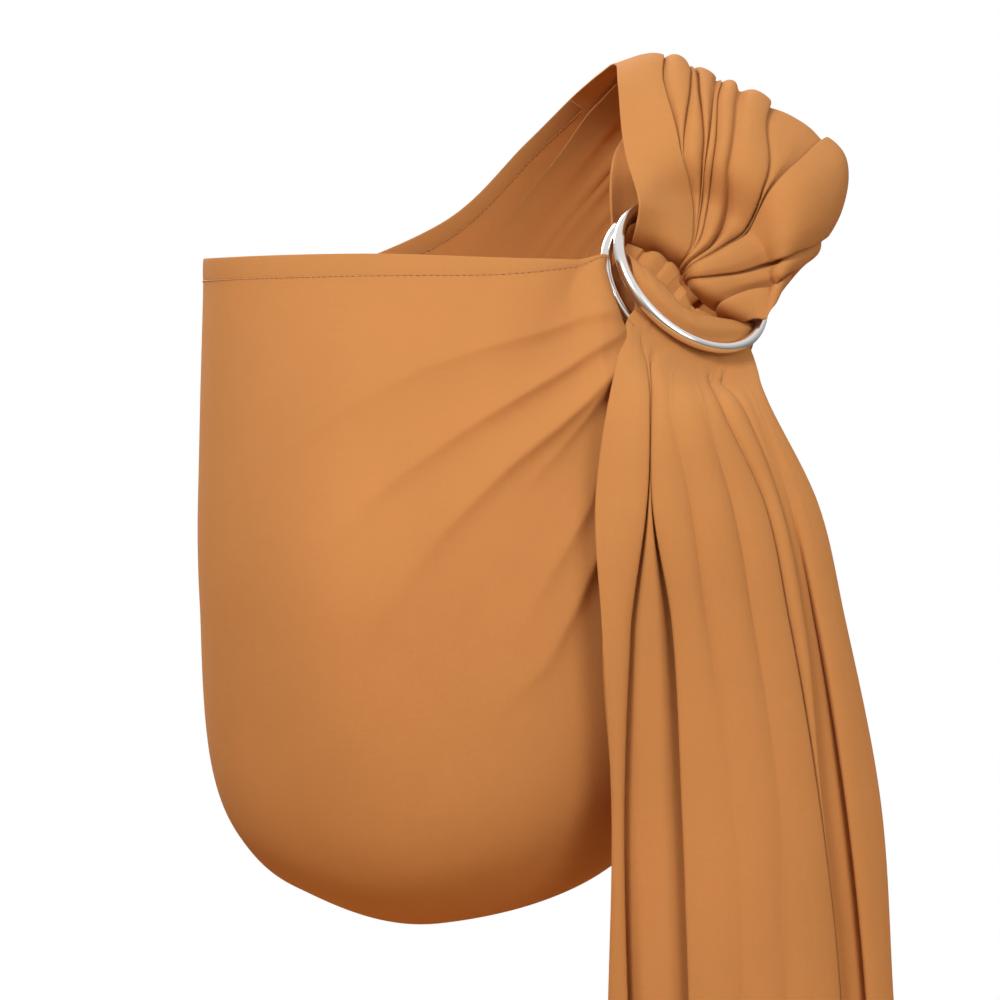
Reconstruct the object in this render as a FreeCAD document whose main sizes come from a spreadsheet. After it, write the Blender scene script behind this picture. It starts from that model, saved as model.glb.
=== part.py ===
"""Ring sling for carrying a baby, as worn on one shoulder.

One long cloth is sewn round two metal rings at the shoulder. It runs over the shoulder, down across the
back, round the side and forward as a pouch, then up behind both rings, over the rear ring and out under
the front ring as a hanging tail. Millimetres, +Z up, front towards -Y, origin where the shoulder carries it.
"""
import FreeCAD, Part
import Sketcher
import math
import os

V = FreeCAD.Vector

# --------------------------------------------------------------------------- driving dimensions
SIZES = [
    # alias, value, what it is
    ("ring_bore", 76.0, "inside diameter of each ring, the common 3 inch size"),
    ("wire_dia", 5.5, "diameter of the ring wire"),
    ("ring_gap", 6.0, "distance between the two rings' planes at the shoulder"),
    ("ring_spread", 5.0, "degrees that the threaded cloth holds the rear ring back"),
    ("ring_tilt", 47.0, "degrees between the rings' axis and the front direction"),
    ("ring_lean", 45.0, "degrees that the rings' long way leans from upright"),
    ("channel_bore", 22.0, "inside diameter of the sewn channel round both rings"),
    ("channel_wall", 3.6, "thickness of the sewn channel"),
    ("channel_sweep", 80.0, "degrees of ring that the channel covers"),
    ("roll_dia", 14.0, "diameter of the cloth rolled over the rear ring"),
    ("roll_sweep", 120.0, "degrees of ring that the roll covers"),
    ("roll_bore", 6.1, "inside diameter of that roll, just clear of the wire"),
    ("cloth_bulk", 4.0, "thickness that the gathered cloth takes up"),
    ("hem_share", 0.02, "width of a rolled hem as a share of the cloth's width"),
    ("thread_width", 1.2, "width of a row of stitches"),
    ("thread_rise", 0.5, "height of a row of stitches over the cloth"),
    ("label_width", 30.0, "width of the sewn-in care label"),
    ("label_height", 45.0, "height of the sewn-in care label"),
    ("label_thick", 0.5, "thickness of the care label"),
]

# The rings' common centre, and the middle of the tail's top edge.
RING_CENTRE = V(-26, -80, -93)

# --------------------------------------------------------------------------- the cloth's guide points
# Each station crosses the cloth from the upper or neck-side rail to the lower or arm-side rail, five
# points each. The stations follow the cloth's length, so a column of points is one lengthwise thread.
LOOP = [
    ("ring arch", [(-48, -88, -56), (-28, -67, -54), (-1, -58, -68), (14, -66, -94), (9, -86, -113)]),
    ("shoulder front", [(-56, -46, -6), (-38, -52, -6), (-5, -52, -18), (28, -45, -42), (42, -48, -72)]),
    ("shoulder crest", [(-59, 2, 18), (-32, 2, 22), (5, 2, 3), (41, -2, -10), (58, -25, -45)]),
    ("behind the shoulder", [(-72, 50, 15), (-44, 60, 2), (-14, 64, -20), (13, 58, -50), (30, 40, -85)]),
    ("upper back", [(-100, 92, -7), (-76, 104, -42), (-50, 108, -84), (-24, 104, -126), (0, 90, -165)]),
    ("middle of the back", [(-147, 112, -49), (-138, 120, -112), (-126, 123, -172), (-113, 120, -232), (-100, 112, -290)]),
    ("back of the side", [(-236, 72, -84), (-240, 76, -150), (-240, 78, -225), (-232, 76, -300), (-210, 60, -355)]),
    ("side", [(-261, 5, -79), (-261, 5, -160), (-260, 3, -240), (-254, 0, -325), (-222, -12, -378)]),
    ("front corner", [(-243, -85, -83), (-249, -102, -165), (-249, -114, -250), (-238, -108, -345), (-186, -52, -392)]),
    ("pouch left", [(-175, -128, -85), (-188, -156, -165), (-188, -174, -260), (-170, -150, -366), (-120, -58, -395)]),
    ("pouch middle", [(-115, -130, -87), (-126, -152, -150), (-120, -168, -240), (-96, -152, -342), (-46, -60, -366)]),
    ("pouch right", [(-80, -118, -87), (-86, -128, -115), (-74, -138, -172), (-30, -122, -257), (15, -70, -275)]),
    ("ring approach", [(-67, -100, -86), (-66, -108, -98), (-56, -114, -122), (-27, -108, -148), (8, -84, -146)]),
    ("ring entry", [(-60, -84, -78), (-58, -88, -86), (-50, -94, -104), (-28, -90, -124), (0, -74, -124)]),
]
ARCH, FRONT, CREST, BEHIND, UPPER, BACK, BACK_SIDE, SIDE, CORNER, LEFT, MIDDLE, RIGHT, APPROACH, ENTRY = range(14)

TAIL = [
    ("under the rings", [(-62, -118, -104), (-48, -119, -120), (-29, -113, -133), (-12, -103, -137), (3, -91, -134)]),
    ("below the rings", [(-61, -141, -152), (-46, -141, -154), (-27, -137, -155), (-8, -125, -155), (8, -108, -152)]),
    ("beside the pouch", [(-69, -155, -198), (-48, -155, -198), (-22, -149, -198), (6, -135, -198), (30, -115, -198)]),
    ("widening", [(-70, -162, -252), (-44, -159, -252), (-13, -154, -252), (18, -141, -252), (42, -119, -252)]),
    ("beside the seat", [(-65, -159, -334), (-37, -159, -334), (-3, -156, -334), (31, -143, -334), (58, -121, -334)]),
    ("below the seat", [(-66, -152, -425), (-36, -157, -425), (0, -156, -425), (36, -142, -425), (64, -122, -425)]),
    ("lower tail", [(-72, -141, -640), (-36, -150, -640), (3, -150, -640), (42, -140, -640), (76, -124, -640)]),
    ("tail end", [(-80, -132, -860), (-38, -142, -860), (5, -143, -860), (48, -136, -860), (86, -122, -860)]),
]
TAIL_TOP, TAIL_END = 0.45, len(TAIL) - 1
TURN_UP = 0.06           # stations taken by the hem across the tail's end
TAIL_STATION = 220.0     # length of the tail's last station
CHANNEL_STATION = 60.0   # length of the station between the channel and the shoulder's front
POUCH_WIDTH = 400.0      # the cloth's width round the pouch

CELL = 0.25          # stations between two rows of interpolated points
ROWS_ACROSS = 13     # interpolated points across the cloth
GAP = 0.03           # stations left open between two cloth nodes
RAIL_GAP = 0.005     # the same across the cloth, as a share of its width
FAN_START = 0.3      # station where the cloth leaves the channel for the shoulder
LEAD_IN_END = 0.05   # stations short of the ring approach where the cloth meets the roll
SEAT_FROM = 0.74     # where the pouch's front wall turns under into the seat
TAB_ROWS = (0.6, 0.75, 0.9)        # stations of the three rows of stitches that close the channel
STITCH_CLEAR = 0.6   # gap between a row of stitches and the cloth it is drawn on
LABEL_CLEAR = 1.5    # gap between the label and the tail
TAB_DEPTH = 6.0      # how far the sewn-back end lies behind the shoulder cloth


# --------------------------------------------------------------------------- document and sheet
def open_document():
    """The document with its sheet of driving dimensions."""
    document = FreeCAD.newDocument("ring_sling")
    sizes = document.addObject("Spreadsheet::Sheet", "Sizes")
    for row, (alias, value, meaning) in enumerate(SIZES, start=1):
        sizes.set(f"A{row}", meaning)
        sizes.set(f"B{row}", str(value))
        sizes.setAlias(f"B{row}", alias)
    document.recompute()
    return document, sizes


doc, sheet = open_document()
pieces = []


def size(alias):
    return float(sheet.get(alias))


def keep(thing, label):
    """Marks a finished sub-part, whose label names its file."""
    thing.Label = label
    pieces.append(thing)
    return thing


# --------------------------------------------------------------------------- the rings
def ring_frame(spread=0.0):
    """Placement of a ring: its own X runs down to the right, Y up into the shoulder and Z out of the front.

    A spread turns the ring back about the channel, away from the front ring.
    """
    tilt, lean = math.radians(size("ring_tilt")), math.radians(size("ring_lean"))
    along = V(math.sin(lean), 0, -math.cos(lean))
    up = V(math.cos(tilt) * math.cos(lean), math.sin(tilt), math.cos(tilt) * math.sin(lean))
    out = along.cross(up)
    level = FreeCAD.Placement(RING_CENTRE, FreeCAD.Rotation(along, up, out, "XYZ"))
    hinge = V(0, (size("ring_bore") + size("wire_dia")) / 2, 0)
    turn = FreeCAD.Placement(V(0, 0, 0), FreeCAD.Rotation(V(1, 0, 0), spread), hinge)
    return level.multiply(turn)


def torus(name, sweep=None):
    """A torus bound to the ring's radius, or the stretch of it over an angle centred on its own +Y or -Y."""
    ring = doc.addObject("Part::Torus", name)
    ring.setExpression("Radius1", "(Sizes.ring_bore + Sizes.wire_dia) / 2")
    if sweep:
        ring.setExpression("Angle3", f"Sizes.{sweep}")
    return ring


def make_rings():
    for name, side, spread in (("front_ring", 0.5, 0.0), ("rear_ring", -0.5, size("ring_spread"))):
        ring = torus(name)
        ring.setExpression("Radius2", "Sizes.wire_dia / 2")
        offset = FreeCAD.Placement(V(0, 0, side * size("ring_gap")), FreeCAD.Rotation())
        ring.Placement = ring_frame(spread).multiply(offset)
        keep(ring, name)


def make_tube_round_ring(name, sweep, middle, outer, inner, frame):
    """A hollow stretch of cloth round the rings, centred on an angle of the ring."""
    solid = torus(name + "_outside", sweep)
    solid.setExpression("Radius2", outer)
    hollow = torus(name + "_inside", sweep)
    hollow.setExpression("Radius2", inner)
    start = middle - size(sweep) / 2
    for part in (solid, hollow):
        part.Placement = frame.multiply(FreeCAD.Placement(V(0, 0, 0), FreeCAD.Rotation(V(0, 0, 1), start)))
    cut = doc.addObject("Part::Cut", name)
    cut.Base, cut.Tool = solid, hollow
    keep(cut, name)


def make_channel_and_roll():
    make_tube_round_ring(
        "ring_channel", "channel_sweep", 90,
        "Sizes.channel_bore / 2 + Sizes.channel_wall", "Sizes.channel_bore / 2", ring_frame(),
    )
    behind = FreeCAD.Placement(V(0, 0, -0.5 * size("ring_gap")), FreeCAD.Rotation())
    make_tube_round_ring(
        "ring_roll", "roll_sweep", 275,
        "Sizes.roll_dia / 2", "Sizes.roll_bore / 2", ring_frame(size("ring_spread")).multiply(behind),
    )


# --------------------------------------------------------------------------- the cloth
def blend_four(p, t):
    """The smooth curve through four values, between the middle two."""
    return p[1] + (
        (p[2] - p[0]) * (t / 2)
        + (p[0] * 2 - p[1] * 5 + p[2] * 4 - p[3]) * (t * t / 2)
        + (p[1] * 3 - p[0] - p[2] * 3 + p[3]) * (t * t * t / 2)
    )


def through(values, at):
    """The smooth curve through a row of values, at a place counted in values."""
    last = len(values) - 1
    i = min(int(at), last - 1)
    before = values[i - 1] if i > 0 else values[0] * 2 - values[1]
    after = values[i + 2] if i + 2 <= last else values[last] * 2 - values[last - 1]
    return blend_four((before, values[i], values[i + 1], after), at - i)


def cloth_point(net, station, across):
    rows = [through([V(*p) for p in points], across * (len(points) - 1)) for _, points in net]
    return through(rows, station)


def cloth_normal(net, station, across):
    """Unit normal on the face that is outermost round the wearer, and hindmost on the tail."""
    step = 0.01
    high = min(station + step, len(net) - 1)
    low = max(station - step, 0)
    left, right = max(across - step, 0), min(across + step, 1)
    lengthways = cloth_point(net, high, across) - cloth_point(net, low, across)
    crossways = cloth_point(net, station, right) - cloth_point(net, station, left)
    return crossways.cross(lengthways).normalize()


def spaced(low, high, step):
    count = max(4, math.ceil((high - low) / step) + 1)
    return [low + (high - low) * i / (count - 1) for i in range(count)]


def smooth_face(rows):
    surface = Part.BSplineSurface()
    surface.interpolate(rows)
    return surface.toShape()


def cloth_solid(net, stations, across, inner, outer):
    """A closed solid over a stretch of the cloth, between two distances from the guide surface."""
    along = spaced(*stations, CELL)
    over = spaced(*across, 1 / (ROWS_ACROSS - 1))
    sheets = []
    for offset in (inner, outer):
        rows = [[cloth_point(net, s, c) + cloth_normal(net, s, c) * offset for c in over] for s in along]
        sheets.append(smooth_face(rows))
    faces = list(sheets)
    for edge, facing in zip(sheets[0].Edges, sheets[1].Edges):
        faces.append(Part.makeRuledSurface(edge, facing))
    shell = Part.makeShell(faces)
    shell.sewShape()
    solid = Part.makeSolid(shell)
    if solid.Volume < 0:
        solid.reverse()
    return solid


def make_cloth(label, net, stations, across, inner=None, outer=None):
    """One node of the cloth, half its bulk to each side of the guide surface unless distances are given."""
    half = size("cloth_bulk") / 2
    feature = doc.addObject("Part::Feature", label)
    feature.Shape = cloth_solid(
        net, stations, across, -half if inner is None else inner, half if outer is None else outer
    )
    return keep(feature, label)


def make_loop():
    """The stretch of cloth that goes round the wearer."""
    hem = size("hem_share")
    body = (hem + RAIL_GAP, 1 - hem - RAIL_GAP)
    front = (hem + RAIL_GAP, SEAT_FROM - RAIL_GAP / 2)
    under = (SEAT_FROM + RAIL_GAP / 2, 1 - hem - RAIL_GAP)
    make_cloth("shoulder_fan", LOOP, (ARCH + FAN_START, BEHIND - GAP), body)
    make_cloth("back_panel", LOOP, (BEHIND + GAP, BACK_SIDE - GAP), body)
    make_cloth("side_wrap", LOOP, (BACK_SIDE + GAP, CORNER - GAP), body)
    make_cloth("pouch_panel", LOOP, (CORNER + GAP, RIGHT - GAP), front)
    make_cloth("pouch_seat", LOOP, (CORNER + GAP, RIGHT - GAP), under)
    make_cloth("ring_lead_in", LOOP, (RIGHT + GAP, APPROACH - LEAD_IN_END), body)
    make_cloth("upper_rail_hem", LOOP, (ARCH + FAN_START, APPROACH - LEAD_IN_END), (0, hem))
    make_cloth("lower_rail_hem", LOOP, (ARCH + FAN_START, APPROACH - LEAD_IN_END), (1 - hem, 1))


def make_sewn_end():
    """The end of the cloth, folded back behind the rings and sewn down under the shoulder."""
    half = size("cloth_bulk") / 2
    make_cloth("sewn_end", LOOP, (ARCH + 0.5, FRONT), (0.15, 0.8), -TAB_DEPTH - half, -TAB_DEPTH)


def thread_row(net, stations, across, face):
    """A raised row of stitches just clear of one face of the cloth, +1 for its outer face."""
    near = size("cloth_bulk") / 2 + STITCH_CLEAR
    far = near + size("thread_rise")
    low, high = sorted((face * near, face * far))
    return cloth_solid(net, stations, across, low, high)


def make_thread(label, rows):
    feature = doc.addObject("Part::Feature", label)
    feature.Shape = Part.makeCompound(rows)
    keep(feature, label)


def make_stitching():
    hem = size("hem_share")
    wide = size("thread_width") / POUCH_WIDTH
    start = hem + RAIL_GAP
    make_thread("rail_stitching", [
        thread_row(LOOP, (BEHIND + 0.1, APPROACH - 0.1), (low, low + wide), 1)
        for low in (start, 1 - start - wide)
    ])
    tall = size("thread_width") / CHANNEL_STATION
    make_thread("channel_stitching", [
        thread_row(LOOP, (ARCH + row, ARCH + row + tall), (0.18, 0.77), 1) for row in TAB_ROWS
    ])


def make_tail():
    hem = size("hem_share")
    body = (hem + RAIL_GAP, 1 - hem - RAIL_GAP)
    turned = TAIL_END - TURN_UP
    make_cloth("tail_panel", TAIL, (TAIL_TOP, turned - 0.005), body)
    make_cloth("tail_left_hem", TAIL, (TAIL_TOP, TAIL_END), (0, hem))
    make_cloth("tail_right_hem", TAIL, (TAIL_TOP, TAIL_END), (1 - hem, 1))
    make_cloth("tail_end_hem", TAIL, (turned, TAIL_END), body)
    tall = size("thread_width") / TAIL_STATION
    low = turned - 2 * tall
    make_thread("tail_stitching", [thread_row(TAIL, (low, low + tall), (0.04, 0.96), -1)])


# --------------------------------------------------------------------------- the care label
def origin_plane(body, role):
    return next(f for f in body.Origin.OriginFeatures if f.Role == role)


def rectangle(sketch, width, height):
    """A rectangle hanging below the sketch's origin, its sides bound to the sheet."""
    w, h = size(width) / 2, size(height)
    corners = [V(-w, -h, 0), V(w, -h, 0), V(w, 0, 0), V(-w, 0, 0)]
    for start, end in zip(corners, corners[1:] + corners[:1]):
        sketch.addGeometry(Part.LineSegment(start, end))
    constraint = Sketcher.Constraint
    for i in range(4):
        sketch.addConstraint(constraint("Coincident", i, 2, (i + 1) % 4, 1))
    sketch.addConstraint(constraint("Horizontal", 0))
    sketch.addConstraint(constraint("Horizontal", 2))
    sketch.addConstraint(constraint("Vertical", 1))
    sketch.addConstraint(constraint("Vertical", 3))
    sketch.addConstraint(constraint("Symmetric", 2, 1, 2, 2, -1, 1))
    across = sketch.addConstraint(constraint("DistanceX", 0, 1, 0, 2, 2 * w))
    down = sketch.addConstraint(constraint("DistanceY", 1, 1, 1, 2, h))
    sketch.setExpression(f"Constraints[{across}]", f"Sizes.{width}")
    sketch.setExpression(f"Constraints[{down}]", f"Sizes.{height}")


def make_label():
    """The blank care label, caught in the tail's side hem and lying on its back."""
    body = doc.addObject("PartDesign::Body", "care_label")
    sketch = body.newObject("Sketcher::SketchObject", "care_label_outline")
    sketch.AttachmentSupport = [(origin_plane(body, "XZ_Plane"), "")]
    sketch.MapMode = "FlatFace"
    rectangle(sketch, "label_width", "label_height")
    pad = body.newObject("PartDesign::Pad", "care_label_pad")
    pad.Profile = sketch
    pad.setExpression("Length", "Sizes.label_thick")
    lower_tail = len(TAIL) - 2
    hung_from = cloth_point(TAIL, lower_tail, 0.12)
    out = cloth_normal(TAIL, lower_tail, 0.12)
    clear = size("cloth_bulk") / 2 + size("label_thick") + LABEL_CLEAR
    body.Placement = FreeCAD.Placement(hung_from + out * clear, FreeCAD.Rotation(V(0, 1, 0), out))
    keep(body, "care_label")


# --------------------------------------------------------------------------- build and write
def check_and_write():
    doc.recompute()
    failed = [o.Label for o in doc.Objects if {"Invalid", "Error"} & set(o.State)]
    failed += [p.Label for p in pieces if p.Shape.isNull() or not p.Shape.isValid()]
    if failed:
        raise SystemExit(f"failed: {failed}")
    os.makedirs("parts", exist_ok=True)
    for piece in pieces:
        piece.Shape.exportStep(f"parts/{piece.Label}.step")
        print(f"{piece.Label:20s} {len(piece.Shape.Solids):3d} solids {piece.Shape.Volume / 1000:9.2f} cm3")


make_rings()
make_channel_and_roll()
make_loop()
make_sewn_end()
make_stitching()
make_tail()
make_label()
check_and_write()
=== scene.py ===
"""Looks of the ring sling: one gathered cloth over the shoulder, through two rings and down as the tail."""
import math
import bpy
import numpy as np
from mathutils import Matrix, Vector


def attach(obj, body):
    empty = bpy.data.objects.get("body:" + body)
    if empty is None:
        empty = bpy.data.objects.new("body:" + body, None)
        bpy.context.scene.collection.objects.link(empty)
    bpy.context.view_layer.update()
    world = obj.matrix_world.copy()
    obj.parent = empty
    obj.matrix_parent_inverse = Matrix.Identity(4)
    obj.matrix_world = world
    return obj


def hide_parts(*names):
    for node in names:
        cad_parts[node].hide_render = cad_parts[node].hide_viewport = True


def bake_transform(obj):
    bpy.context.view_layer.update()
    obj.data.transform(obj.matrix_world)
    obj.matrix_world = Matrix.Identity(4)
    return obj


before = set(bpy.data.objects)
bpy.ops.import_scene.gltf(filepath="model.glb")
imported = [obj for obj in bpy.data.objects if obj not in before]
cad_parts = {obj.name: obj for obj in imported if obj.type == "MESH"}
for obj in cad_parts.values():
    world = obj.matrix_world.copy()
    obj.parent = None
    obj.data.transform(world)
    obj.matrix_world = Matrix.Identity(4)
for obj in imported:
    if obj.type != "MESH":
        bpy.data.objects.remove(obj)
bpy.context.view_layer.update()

MM = 0.001

# --------------------------------------------------------------------------- camera, light and floor
CAMERA_AT = (-0.115, -1.5, -0.1975)
LENS = 108
# The sky's strength from nadir to zenith.
SKY = [(0.30, (0.10, 0.10, 0.10, 1)), (0.85, (0.80, 0.80, 0.80, 1))]
FLOOR_HEIGHT = -0.90
FLOOR_RADIUS = 1.9
FLOOR_SEEN = (0.84, 0.84, 0.83, 1)       # what the camera sees
FLOOR_BOUNCE = (0.42, 0.22, 0.07, 1)     # what the floor throws back on to the cloth


def make_camera():
    data = bpy.data.cameras.new("camera")
    data.lens = LENS
    data.sensor_width = 36
    camera = bpy.data.objects.new("camera", data)
    camera.location = CAMERA_AT
    camera.rotation_euler = (math.pi / 2, 0, 0)
    bpy.context.collection.objects.link(camera)
    bpy.context.scene.camera = camera


def make_area_light(name, place, aim, size, power, colour=(1, 1, 1)):
    data = bpy.data.lights.new(name, "AREA")
    data.shape = "DISK"
    data.size = size
    data.energy = power
    data.color = colour
    lamp = bpy.data.objects.new(name, data)
    lamp.location = place
    lamp.rotation_euler = (Vector(aim) - Vector(place)).to_track_quat("-Z", "Y").to_euler()
    bpy.context.collection.objects.link(lamp)


def make_lights():
    middle = (-0.08, -0.05, -0.20)
    make_area_light("key_light", (-1.0, -1.85, 1.3), middle, 0.8, 46, (1.0, 0.985, 0.97))
    make_area_light("fill_light", (1.2, -1.8, 0.5), middle, 1.4, 17)
    make_area_light("back_light", (-0.8, 1.5, 0.95), middle, 1.2, 40)


def make_world():
    """White to the camera; to everything else a pale sky that is bright above and dim below."""
    world = bpy.data.worlds.new("studio")
    bpy.context.scene.world = world
    world.use_nodes = True
    tree = world.node_tree
    tree.nodes.clear()
    seen = node(tree, "ShaderNodeBackground", Color=(1, 1, 1, 1))
    light = node(tree, "ShaderNodeBackground", Color=(0.96, 0.97, 1.0, 1))
    split = node(tree, "ShaderNodeSeparateXYZ")
    tree.links.new(node(tree, "ShaderNodeTexCoord").outputs["Generated"], split.inputs[0])
    strength = ramp(tree, maths(tree, "MULTIPLY_ADD", split.outputs[2], 0.5, 0.5), SKY)
    tree.links.new(strength, light.inputs["Strength"])
    mix = node(tree, "ShaderNodeMixShader")
    tree.links.new(node(tree, "ShaderNodeLightPath").outputs["Is Camera Ray"], mix.inputs[0])
    tree.links.new(light.outputs[0], mix.inputs[1])
    tree.links.new(seen.outputs[0], mix.inputs[2])
    tree.links.new(mix.outputs[0], node(tree, "ShaderNodeOutputWorld").inputs[0])


def make_floor():
    bpy.ops.mesh.primitive_circle_add(
        vertices=96, radius=FLOOR_RADIUS, fill_type="NGON", location=(0, 0, FLOOR_HEIGHT))
    floor = bpy.context.object
    floor.name = "floor"
    material, shader, tree = new_material("floor_paper", 0.9)
    to_camera = node(tree, "ShaderNodeLightPath").outputs["Is Camera Ray"]
    colour = ramp(tree, to_camera, [(0, FLOOR_BOUNCE), (1, FLOOR_SEEN)])
    tree.links.new(colour, shader.inputs["Base Color"])
    floor.data.materials.append(material)


# --------------------------------------------------------------------------- materials
def new_material(name, roughness):
    material = bpy.data.materials.new(name)
    material.use_nodes = True
    tree = material.node_tree
    shader = tree.nodes["Principled BSDF"]
    shader.inputs["Roughness"].default_value = roughness
    return material, shader, tree


def node(tree, kind, **values):
    """A new shader node, with its inputs or its settings given by name."""
    made = tree.nodes.new(kind)
    for key, value in values.items():
        if key in made.inputs:
            made.inputs[key].default_value = value
        else:
            setattr(made, key, value)
    return made


def ramp(tree, source, stops):
    """A colour ramp through (place, colour) stops, driven by a socket."""
    made = tree.nodes.new("ShaderNodeValToRGB")
    elements = made.color_ramp.elements
    for element, (place, colour) in zip(elements, stops):
        element.position, element.color = place, colour
    for place, colour in stops[2:]:
        elements.new(place).color = colour
    tree.links.new(source, made.inputs["Fac"])
    return made.outputs["Color"]


def maths(tree, operation, *values):
    """The output of a maths node, from sockets or plain values."""
    made = tree.nodes.new("ShaderNodeMath")
    made.operation = operation
    for socket, value in zip(made.inputs, values):
        if hasattr(value, "links"):
            tree.links.new(value, socket)
        else:
            socket.default_value = value
    return made.outputs[0]


def shade(colour, factor):
    return (colour[0] * factor, colour[1] * factor, colour[2] * factor, 1)


CLOTH_COLOUR = (0.56, 0.244, 0.076)
CLOTH_GLOW = (0.85, 0.32, 0.05)      # light that comes through the cloth
GLOW_SHARE = 0.18
THREAD_COLOUR = (0.43, 0.18, 0.056)


def cloth_material():
    """Plain-woven cotton: crossing threads laid out by the cloth's UV in metres, slubs and uneven colour,
    and painted shade that darkens the gaps between the threads.
    """
    material, shader, tree = new_material("ochre_cotton", 0.88)
    shader.inputs["Specular IOR Level"].default_value = 0.06
    shader.inputs["Sheen Weight"].default_value = 0.06
    shader.inputs["Sheen Roughness"].default_value = 0.55
    shader.inputs["Sheen Tint"].default_value = (1.0, 0.72, 0.45, 1)
    uv = node(tree, "ShaderNodeUVMap", uv_map="cloth").outputs[0]
    split = node(tree, "ShaderNodeSeparateXYZ")
    tree.links.new(uv, split.inputs[0])
    pitch = 0.55 * MM

    def threads(axis, other):
        """Rounded threads along one direction, each rising and dipping over the crossing ones."""
        across = maths(tree, "MULTIPLY", split.outputs[axis], 2 * math.pi / pitch)
        along = maths(tree, "MULTIPLY", split.outputs[other], math.pi / pitch)
        thread = maths(tree, "ROUND", maths(tree, "DIVIDE", split.outputs[axis], pitch))
        flip = maths(tree, "MULTIPLY", thread, math.pi)
        over = maths(tree, "SINE", maths(tree, "ADD", along, flip))
        rise = maths(tree, "MULTIPLY_ADD", over, 0.4, 0.6)
        return maths(tree, "MULTIPLY", maths(tree, "COSINE", across), rise)

    weave = maths(tree, "MAXIMUM", threads(0, 1), threads(1, 0))

    def slubs(scale_u, scale_v, scale):
        """Noise drawn out along one direction, as thick and thin stretches of thread."""
        mapping = node(tree, "ShaderNodeMapping")
        mapping.inputs["Scale"].default_value = (scale_u, scale_v, 1)
        tree.links.new(uv, mapping.inputs[0])
        noise = node(tree, "ShaderNodeTexNoise", Scale=scale, Detail=3.0, Roughness=0.6)
        tree.links.new(mapping.outputs[0], noise.inputs["Vector"])
        return noise.outputs["Fac"]

    slub = maths(tree, "ADD", slubs(60, 3, 22.0), slubs(3, 60, 22.0))
    place = node(tree, "ShaderNodeTexCoord").outputs["Object"]
    wash = node(tree, "ShaderNodeTexNoise", Scale=9.0, Detail=4.0, Roughness=0.55)
    tree.links.new(place, wash.inputs["Vector"])
    tone = maths(tree, "MULTIPLY_ADD", slub, 0.20, maths(tree, "MULTIPLY", wash.outputs["Fac"], 0.50))
    # Painted shade: the weave makes the thread tops a little lighter and the gaps between the threads
    # darker.
    tone = maths(tree, "MULTIPLY_ADD", weave, 0.06, tone)
    colour = ramp(tree, tone, [(0.30, shade(CLOTH_COLOUR, 0.90)), (0.70, shade(CLOTH_COLOUR, 1.08))])
    tree.links.new(colour, shader.inputs["Base Color"])
    height = maths(tree, "MULTIPLY_ADD", slub, 0.6, weave)
    bump = node(tree, "ShaderNodeBump", Strength=0.35, Distance=0.00012)
    tree.links.new(height, bump.inputs["Height"])
    tree.links.new(bump.outputs[0], shader.inputs["Normal"])
    glow = node(tree, "ShaderNodeBsdfTranslucent", Color=shade(CLOTH_GLOW, 1))
    mix = node(tree, "ShaderNodeMixShader")
    mix.inputs[0].default_value = GLOW_SHARE
    tree.links.new(shader.outputs[0], mix.inputs[1])
    tree.links.new(glow.outputs[0], mix.inputs[2])
    tree.links.new(mix.outputs[0], tree.nodes["Material Output"].inputs["Surface"])
    return material


def thread_material():
    material, shader, tree = new_material("sewing_thread", 0.6)
    shader.inputs["Sheen Weight"].default_value = 0.2
    place = node(tree, "ShaderNodeTexCoord").outputs["Object"]
    twist = node(tree, "ShaderNodeTexWave", Scale=900.0, Distortion=0.6)
    twist.bands_direction = "DIAGONAL"
    tree.links.new(place, twist.inputs["Vector"])
    # Painted shade: the thread is lighter on the twist's ridges and darker in its grooves.
    stops = [(0.2, shade(THREAD_COLOUR, 0.8)), (0.8, shade(THREAD_COLOUR, 1.25))]
    colour = ramp(tree, twist.outputs["Fac"], stops)
    tree.links.new(colour, shader.inputs["Base Color"])
    bump = node(tree, "ShaderNodeBump", Strength=0.3, Distance=0.0001)
    tree.links.new(twist.outputs["Fac"], bump.inputs["Height"])
    tree.links.new(bump.outputs[0], shader.inputs["Normal"])
    return material


def ring_material():
    """Polished aluminium with faint handling marks."""
    material, shader, tree = new_material("polished_aluminium", 0.16)
    shader.inputs["Metallic"].default_value = 1.0
    shader.inputs["Specular IOR Level"].default_value = 0.5
    place = node(tree, "ShaderNodeTexCoord").outputs["Object"]
    cloudy = node(tree, "ShaderNodeTexNoise", Scale=70.0, Detail=4.0, Roughness=0.6)
    fine = node(tree, "ShaderNodeTexNoise", Scale=1400.0, Detail=2.0, Roughness=0.5)
    for noise in (cloudy, fine):
        tree.links.new(place, noise.inputs["Vector"])
    rough_stops = [(0.35, (0.12, 0.12, 0.12, 1)), (0.75, (0.24, 0.24, 0.24, 1))]
    tree.links.new(ramp(tree, cloudy.outputs["Fac"], rough_stops), shader.inputs["Roughness"])
    tint_stops = [(0.3, (0.88, 0.84, 0.79, 1)), (0.8, (0.95, 0.91, 0.86, 1))]
    tree.links.new(ramp(tree, cloudy.outputs["Fac"], tint_stops), shader.inputs["Base Color"])
    bump = node(tree, "ShaderNodeBump", Strength=0.06, Distance=0.00005)
    tree.links.new(fine.outputs["Fac"], bump.inputs["Height"])
    tree.links.new(bump.outputs[0], shader.inputs["Normal"])
    return material


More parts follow.
